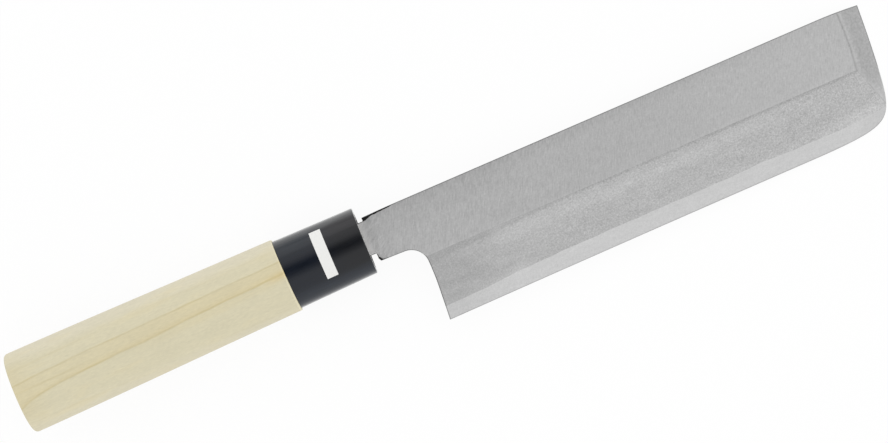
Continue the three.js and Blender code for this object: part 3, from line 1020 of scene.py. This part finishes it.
def facet_finish():
    """Facet ground across the tip: painted shade in a line where it starts, then a painted highlight band,
    lighter at its foot.
    """
    f = Finish("tip_facet", 1.0, 0.45, grey(FACET_GREY))
    lines = f.noise((3.0, 0.5, 1.0), 2, FACET_SLANT, 9)
    grain = f.noise((0.75, 0.75, 0.75), 1, 0.0, 10)
    past, below = facet_start(f)
    upper = f.ramp(below, 0.0, 1.5, 1.0, 0.0)
    level = f.add(
        f.times(lines, 0.2),
        f.times(grain, 0.44),
        # painted shade in the crease where the facet starts, with a painted highlight band beside it
        f.times(f.bump_at(past, 0.0, 0.55), upper, -0.24),
        f.times(f.bump_at(past, 0.95, 0.6), upper, 0.08),
        f.ramp(f.add(past, f.times(below, 0.11)), 0.9, 3.0, 0.1, 0.0),
        # painted shade: the same crease line lower down the facet
        f.times(f.bump_at(past, 0.2, 0.5), f.ramp(below, 4.5, 7.0, 0.0, -0.22)),
        f.ramp(below, 3.0, 11.5, 0.0, 0.24),
        f.ramp(past, 5.0, 7.8, 0.0, 0.07),
        f.times(f.ramp(past, 2.5, 5.0), f.ramp(below, 0.5, 3.0, 0.0, 0.05)),
    )
    f.colour(f.shade(grey(FACET_GREY), level))
    f.roughness(f.times(lines, 0.1), 0.45)
    f.relief(lines, 0.004)
    return f.material


def side_finish(name, tone):
    """Spine, heel and end of the blade: less polished, darker to the neck, bright at the nose, with scale."""
    f = Finish(name, 1.0, 0.45, grey(tone))
    lines = f.noise((5.0, 0.4, 0.12), 2, 0.0, 11)
    level = f.add(f.times(lines, 0.3), f.ramp(f.x, 20.0, 150.0, -0.16, 0.05))
    nose = f.times(f.ramp(f.y, -12.5, -17.0), f.ramp(f.x, 168.0, 172.0))
    body = f.blend(nose, f.shade(grey(tone), level), grey(EDGE_GREY))
    scale = scale_mask(f)
    f.colour(f.blend(scale, body, grey(SCALE_BLACK)))
    f.roughness(f.times(lines, 0.2), 0.45)
    f.relief(lines, 0.006)
    return f.material


def edge_finish():
    """Hard steel where it comes out along the edge, with a fine dark line on the edge itself."""
    f = Finish("bright_steel", 1.0, 0.42, grey(EDGE_GREY))
    fine = f.noise((1.5, 0.35, 1.0), 2, SCRATCH_SLANT, 15)
    cloud = f.noise((5.0, 1.2, 1.2), 3, 0.0, 17)
    grain = f.noise((0.6, 0.4, 0.6), 1, 0.0, 18)
    level = f.add(
        f.times(fine, 0.12),
        f.times(cloud, 0.14),
        f.times(grain, 0.24),
        f.ramp(f.x, 18.0, 42.0, -0.07, 0.0),
        f.ramp(f.x, 164.0, 177.0, 0.0, -0.08),
        f.ramp(f.z, EDGE_THICKNESS + 0.01, EDGE_THICKNESS + 0.07, -0.26, 0.0),
    )
    f.colour(f.shade(grey(EDGE_GREY), level))
    f.roughness(f.times(cloud, 0.08), 0.42)
    f.relief(fine, 0.003)
    return f.material


def back_finish():
    """Hollow back: lengthwise grinding, with brighter flat rims."""
    f = Finish("hollow_back", 1.0, 0.4, grey(BACK_GREY))
    lines = f.noise((14.0, 0.25, 1.0), 3, 0.0, 19)
    strokes = f.noise((9.0, 0.4, 1.0), 2, BACK_SLANT, 20)
    hollow = f.ramp(f.z, 0.004, 0.03)
    rims = f.shade(grey(EDGE_GREY), f.times(strokes, 0.16))
    f.colour(f.blend(hollow, rims, f.shade(grey(HOLLOW_GREY), f.times(lines, 0.3))))
    f.roughness(f.times(hollow, 0.1), f.times(lines, 0.1), 0.32)
    f.relief(lines, 0.005)
    return f.material


WOOD = (0.66, 0.61, 0.434)
WOOD_LINE = (0.52, 0.43, 0.2)
WOOD_WARM = (0.65, 0.572, 0.36)
WOOD_PAINTED_SHEEN = (0.684, 0.636, 0.484)
WOOD_RUST = (0.66, 0.52, 0.25)
END_GRAIN_SHADE = (0.15, 0.132, 0.11)
# Faint growth lines: height at the neck, rise along the handle, width, strength, middle and half length
FAINT_LINES = (
    (9.7, 0.0244, 0.6, 0.16, -115, 30),
    (8.6, 0.008, 0.6, 0.1, -60, 45),
    (2.5, 0.0244, 0.6, 0.3, -117, 22),
    (-12.4, 0.0, 0.8, 0.12, -110, 40),
    (-11.9, 0.0, 0.8, 0.1, -45, 25),
)


def wood_finish():
    """Sanded magnolia: fibres along the handle, two growth lines with a warmer streak between them, a few
    faint ones, paler flanks as painted sheen, a painted highlight on the shoulder's front edge, and end grain
    darkened as painted shade inside the collar."""
    f = Finish("magnolia", 0.0, 0.62, WOOD)
    fibre = f.noise((3.0, 0.36, 0.36), 3, 0.0, 21)
    cloud = f.noise((16.0, 4.0, 4.0), 2, 0.0, 23)
    mottle = f.noise((1.3, 0.6, 0.6), 1, 0.0, 22)
    lean = f.times(f.minus(f.z, HANDLE_Z + BUTT_THICKNESS / 2), 0.22)
    waver = f.times(f.noise((12.0, 4.0, 4.0), 2, 0.0, 25), 0.9)
    height = f.add(f.y, lean, waver)
    rear = f.minus(BUTT_X, f.x)
    hook = f.math("POWER", math.e, f.math("DIVIDE", rear, 7.5))
    sag = f.times(f.bump_at(f.x, -81.0, 14.0), -0.38)
    from_low = f.minus(height, f.add(f.times(f.x, 0.04), 2.2, f.times(hook, -3.2), sag))
    from_high = f.minus(height, f.add(f.times(f.x, 0.022), 5.58, f.times(hook, -0.8)))
    patchy = f.ramp(cloud, -0.15, 0.15, 0.6, 1.0)
    lines = f.times(f.bump_at(from_low, 0.0, 0.65), patchy, f.ramp(f.x, -126.0, -108.0, 0.45, 0.66))
    lines = f.most(lines, f.times(f.bump_at(from_high, 0.0, 0.5), patchy, 0.5))
    for place, slope, width, strength, middle, half in FAINT_LINES:
        there = f.minus(height, f.add(f.times(f.x, slope), place))
        lines = f.most(lines, f.times(f.bump_at(there, 0.0, width), f.bump_at(f.x, middle, half), strength))
    warm = f.times(f.ramp(from_low, -0.4, 0.5), f.ramp(from_high, 0.4, -0.8))
    glow = f.add(f.ramp(from_low, 2.2, 0.2, 0.0, 0.45), f.ramp(f.x, -120.0, -50.0, 0.45, 0.7))
    body = f.blend(f.times(warm, glow), WOOD, WOOD_WARM)
    flank = f.minus(f.y, axis_y((BUTT_X + WOOD_FRONT_X) / 2))
    # painted sheen: paler upper and lower flanks
    body = f.blend(f.ramp(flank, 8.0, 12.0), body, WOOD_PAINTED_SHEEN)
    body = f.blend(f.ramp(flank, -9.0, -12.5, 0.0, 0.5), body, WOOD_PAINTED_SHEEN)
    crown = f.ramp(f.math("ABSOLUTE", flank), 6.0, 12.5, 1.0, 0.2)
    body = f.blend(f.times(crown, f.ramp(rear, -13.0, 0.0, 0.0, 0.5)), body, WOOD_WARM)
    under = f.times(f.bump_at(from_low, -1.5, 2.2), f.ramp(f.x, -92.0, -66.0, 0.0, 0.35))
    body = f.blend(under, body, WOOD_WARM)
    reach = f.ramp(f.x, WOOD_FRONT_X - 9.0, WOOD_FRONT_X - 2.0, 0.0, 0.6)
    body = f.blend(f.times(f.bump_at(from_low, -0.35, 1.8), reach), body, WOOD_RUST)
    body = f.blend(f.ramp(cloud, 0.0, 0.25, 0.0, 0.35), body, WOOD_WARM)
    body = f.blend(lines, body, WOOD_LINE)
    # painted shade: end grain darkened at the tenon's front inside the collar's mouth
    body = f.blend(f.ramp(f.x, COLLAR_FRONT_X - 2.0, COLLAR_FRONT_X - 1.0), body, END_GRAIN_SHADE)
    level = f.add(
        f.times(fibre, 0.15),
        f.times(cloud, 0.12),
        f.times(mottle, 0.12),
        # painted sheen: the lower flank slightly lighter
        f.ramp(flank, -7.0, -11.0, 0.0, 0.02),
        # painted highlight on the shoulder's front edge
        f.ramp(f.x, WOOD_FRONT_X - 0.5, WOOD_FRONT_X - 0.1, 0.0, 0.14),
    )
    f.colour(f.shade(body, level))
    f.roughness(f.times(fibre, 0.15), 0.62)
    f.relief(f.add(fibre, f.times(lines, -0.2)), 0.02)
    return f.material


COLLAR_REAR = (0.003, 0.0055, 0.0118)
COLLAR_FRONT = (0.0036, 0.0044, 0.0066)
# painted reflections: colours for the collar's lighter upper flank, its front, its underside and its upper
# rim
COLLAR_PAINTED_REFLECTION = (0.029, 0.037, 0.046)
COLLAR_PAINTED_REFLECTION_FRONT = (0.044, 0.04, 0.044)
COLLAR_PAINTED_LOW_REFLECTION = (0.012, 0.017, 0.026)
COLLAR_PAINTED_RIM_HIGHLIGHT = (0.095, 0.097, 0.1)


def collar_finish():
    """Polished black: bluer to the rear, with a painted reflection that makes it lighter and bluer below and
    lighter on its upper flank, a painted highlight along its upper rim, and faintly dusty.
    """
    f = Finish("polished_black", 0.0, 0.17, COLLAR_REAR)
    f.shader.inputs["Specular IOR Level"].default_value = 0.4
    f.shader.inputs["Sheen Weight"].default_value = 1.0
    f.shader.inputs["Sheen Roughness"].default_value = 0.3
    rub = f.noise((6.0, 0.5, 0.5), 3, 0.0, 27)
    front = f.ramp(f.x, COLLAR_REAR_X + 8, COLLAR_FRONT_X - 6)
    body = f.blend(front, COLLAR_REAR, COLLAR_FRONT)
    painted_reflection = f.blend(front, COLLAR_PAINTED_REFLECTION, COLLAR_PAINTED_REFLECTION_FRONT)
    # painted reflection: the upper flank lighter
    body = f.blend(f.ramp(f.y, 3.3, 10.6, 0.0, 0.5), body, painted_reflection)
    # painted reflection: the underside lighter and bluer
    body = f.blend(f.ramp(f.y, -5.5, -9.0), body, COLLAR_PAINTED_LOW_REFLECTION)
    # painted highlight along the upper rim, stronger to the front
    rim = f.add(f.times(front, 0.3), 0.6)
    body = f.blend(f.times(f.ramp(f.y, 9.3, 11.2), rim), body, COLLAR_PAINTED_RIM_HIGHLIGHT)
    f.colour(f.shade(body, f.times(rub, 0.8)))
    f.roughness(f.times(rub, 0.1), 0.17)
    f.relief(f.noise((3.0, 0.6, 0.6), 2, 0.0, 29), 0.003)
    return f.material


PAPER = (0.83, 0.83, 0.81)


def paper_finish():
    """Plain white paper with a fine tooth."""
    f = Finish("white_paper", 0.0, 0.75, PAPER)
    fibre = f.noise((0.4, 0.4, 0.4), 3, 0.0, 31)
    f.colour(f.shade(PAPER, f.times(fibre, 0.08)))
    f.relief(fibre, 0.01)
    return f.material


# Stage

PIXEL = 0.338 * MM  # one photograph pixel on the blade
IMAGE_WIDTH = 888
SENSOR_WIDTH = 36
CAMERA_DISTANCE = 1.0
CAMERA_AIM = Vector((24.98 * MM, -4.31 * MM, 2 * MM))
KNIFE_SLANT = math.radians(23.39)
OPENING_TILT = math.radians(5.5)
OPENING_RADIUS = math.radians(23)
OPENING_LEVEL = 0.04
TENT_LEVEL = 1.04
TABLE_HALF = 3.0
TABLE_GREY = 0.95
TABLE_WHITE = 0.92  # share of plain white where the table is seen
LAMP_SIZE = (1.2, 0.8)
LAMP_WATTS = 1.0
LAMP_PLACE = (-0.2, 1.4, 0.8)


def make_camera():
    """Straight above the blade, turned so that the knife rises to the right."""
    data = bpy.data.cameras.new("camera")
    data.sensor_width = SENSOR_WIDTH
    data.lens = SENSOR_WIDTH * CAMERA_DISTANCE / (IMAGE_WIDTH * PIXEL)
    camera = add_object("camera", data)
    place = Matrix.Translation(CAMERA_AIM + Vector((0, 0, CAMERA_DISTANCE)))
    camera.matrix_world = KNIFE @ place @ Matrix.Rotation(-KNIFE_SLANT, 4, "Z")
    bpy.context.scene.camera = camera


def make_floor():
    """White table that keeps a faint shadow of the knife."""
    half = TABLE_HALF
    corners = [(-half, -half, 0), (half, -half, 0), (half, half, 0), (-half, half, 0)]
    mesh = bpy.data.meshes.new("table")
    mesh.from_pydata(corners, [], [(0, 1, 2, 3)])
    material = bpy.data.materials.new("white_table")
    material.use_nodes = True
    tree = material.node_tree
    link = tree.links.new
    tree.nodes.clear()
    diffuse = add_node(tree, "ShaderNodeBsdfDiffuse")
    diffuse.inputs["Color"].default_value = (*grey(TABLE_GREY), 1)
    white = add_node(tree, "ShaderNodeEmission")
    white.inputs["Strength"].default_value = 1.0
    path = add_node(tree, "ShaderNodeLightPath")
    seen = path.outputs["Is Camera Ray"]
    for name in ("Is Glossy Ray", "Is Transmission Ray"):
        either = add_node(tree, "ShaderNodeMath", operation="MAXIMUM")
        link(seen, either.inputs[0])
        link(path.outputs[name], either.inputs[1])
        seen = either.outputs[0]
    part = add_node(tree, "ShaderNodeMath", operation="MULTIPLY")
    part.inputs[1].default_value = TABLE_WHITE
    link(seen, part.inputs[0])
    mixed = add_node(tree, "ShaderNodeMixShader")
    link(part.outputs[0], mixed.inputs["Fac"])
    link(diffuse.outputs[0], mixed.inputs[1])
    link(white.outputs[0], mixed.inputs[2])
    output = add_node(tree, "ShaderNodeOutputMaterial")
    link(mixed.outputs[0], output.inputs["Surface"])
    mesh.materials.append(material)
    table = add_object("table", mesh)


def make_world():
    """A white tent with a dark opening overhead."""
    world = bpy.data.worlds.new("tent")
    bpy.context.scene.world = world
    world.use_nodes = True
    tree = world.node_tree
    link = tree.links.new
    way = add_node(tree, "ShaderNodeTexCoord")
    near = add_node(tree, "ShaderNodeVectorMath", operation="DOT_PRODUCT")
    overhead = Vector((0, math.sin(OPENING_TILT), math.cos(OPENING_TILT)))
    near.inputs[1].default_value = KNIFE.to_3x3() @ overhead
    away = add_node(tree, "ShaderNodeMath", operation="ARCCOSINE")
    level = add_node(tree, "ShaderNodeMapRange", interpolation_type="SMOOTHSTEP")
    numbers = (0, OPENING_RADIUS, OPENING_LEVEL, TENT_LEVEL)
    for socket, number in zip(list(level.inputs)[1:], numbers):
        socket.default_value = number
    background = tree.nodes["Background"]
    background.inputs["Color"].default_value = (1, 1, 1, 1)
    link(way.outputs["Generated"], near.inputs[0])
    link(near.outputs["Value"], away.inputs[0])
    link(away.outputs[0], level.inputs[0])
    link(level.outputs[0], background.inputs["Strength"])


def make_lamps():
    """One broad lamp from the spine's side."""
    data = bpy.data.lights.new("softbox", "AREA")
    data.shape = "RECTANGLE"
    data.size, data.size_y = LAMP_SIZE
    data.energy = LAMP_WATTS
    lamp = add_object("softbox", data)
    lamp.location = LAMP_PLACE
    lamp.rotation_mode = "QUATERNION"
    lamp.rotation_quaternion = (-lamp.location).to_track_quat("-Z", "Y")


# Assembly

def main():
    bpy.context.scene.view_settings.view_transform = "Standard"
    make_camera()
    make_floor()
    make_world()
    make_lamps()
    side = side_finish("ground_sides", SIDE_GREY)
    steel_side = side_finish("steel_sides", STEEL_SIDE_GREY)
    pieces = (
        (make_blade_iron((flat_finish(), bevel_finish(), facet_finish(), side)),
         "blade_iron", "blade_iron"),
        (make_edge_steel((edge_finish(), back_finish(), steel_side)), "edge_steel", "edge_steel"),
        (make_handle((wood_finish(),)), "handle", "handle_wood"),
        (make_collar((collar_finish(),)), "collar", "collar_black"),
        (make_label((paper_finish(),)), "label", "label_paper"),
    )
    for piece, node, slot in pieces:
        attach(piece, "root")
        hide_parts(node)


main()
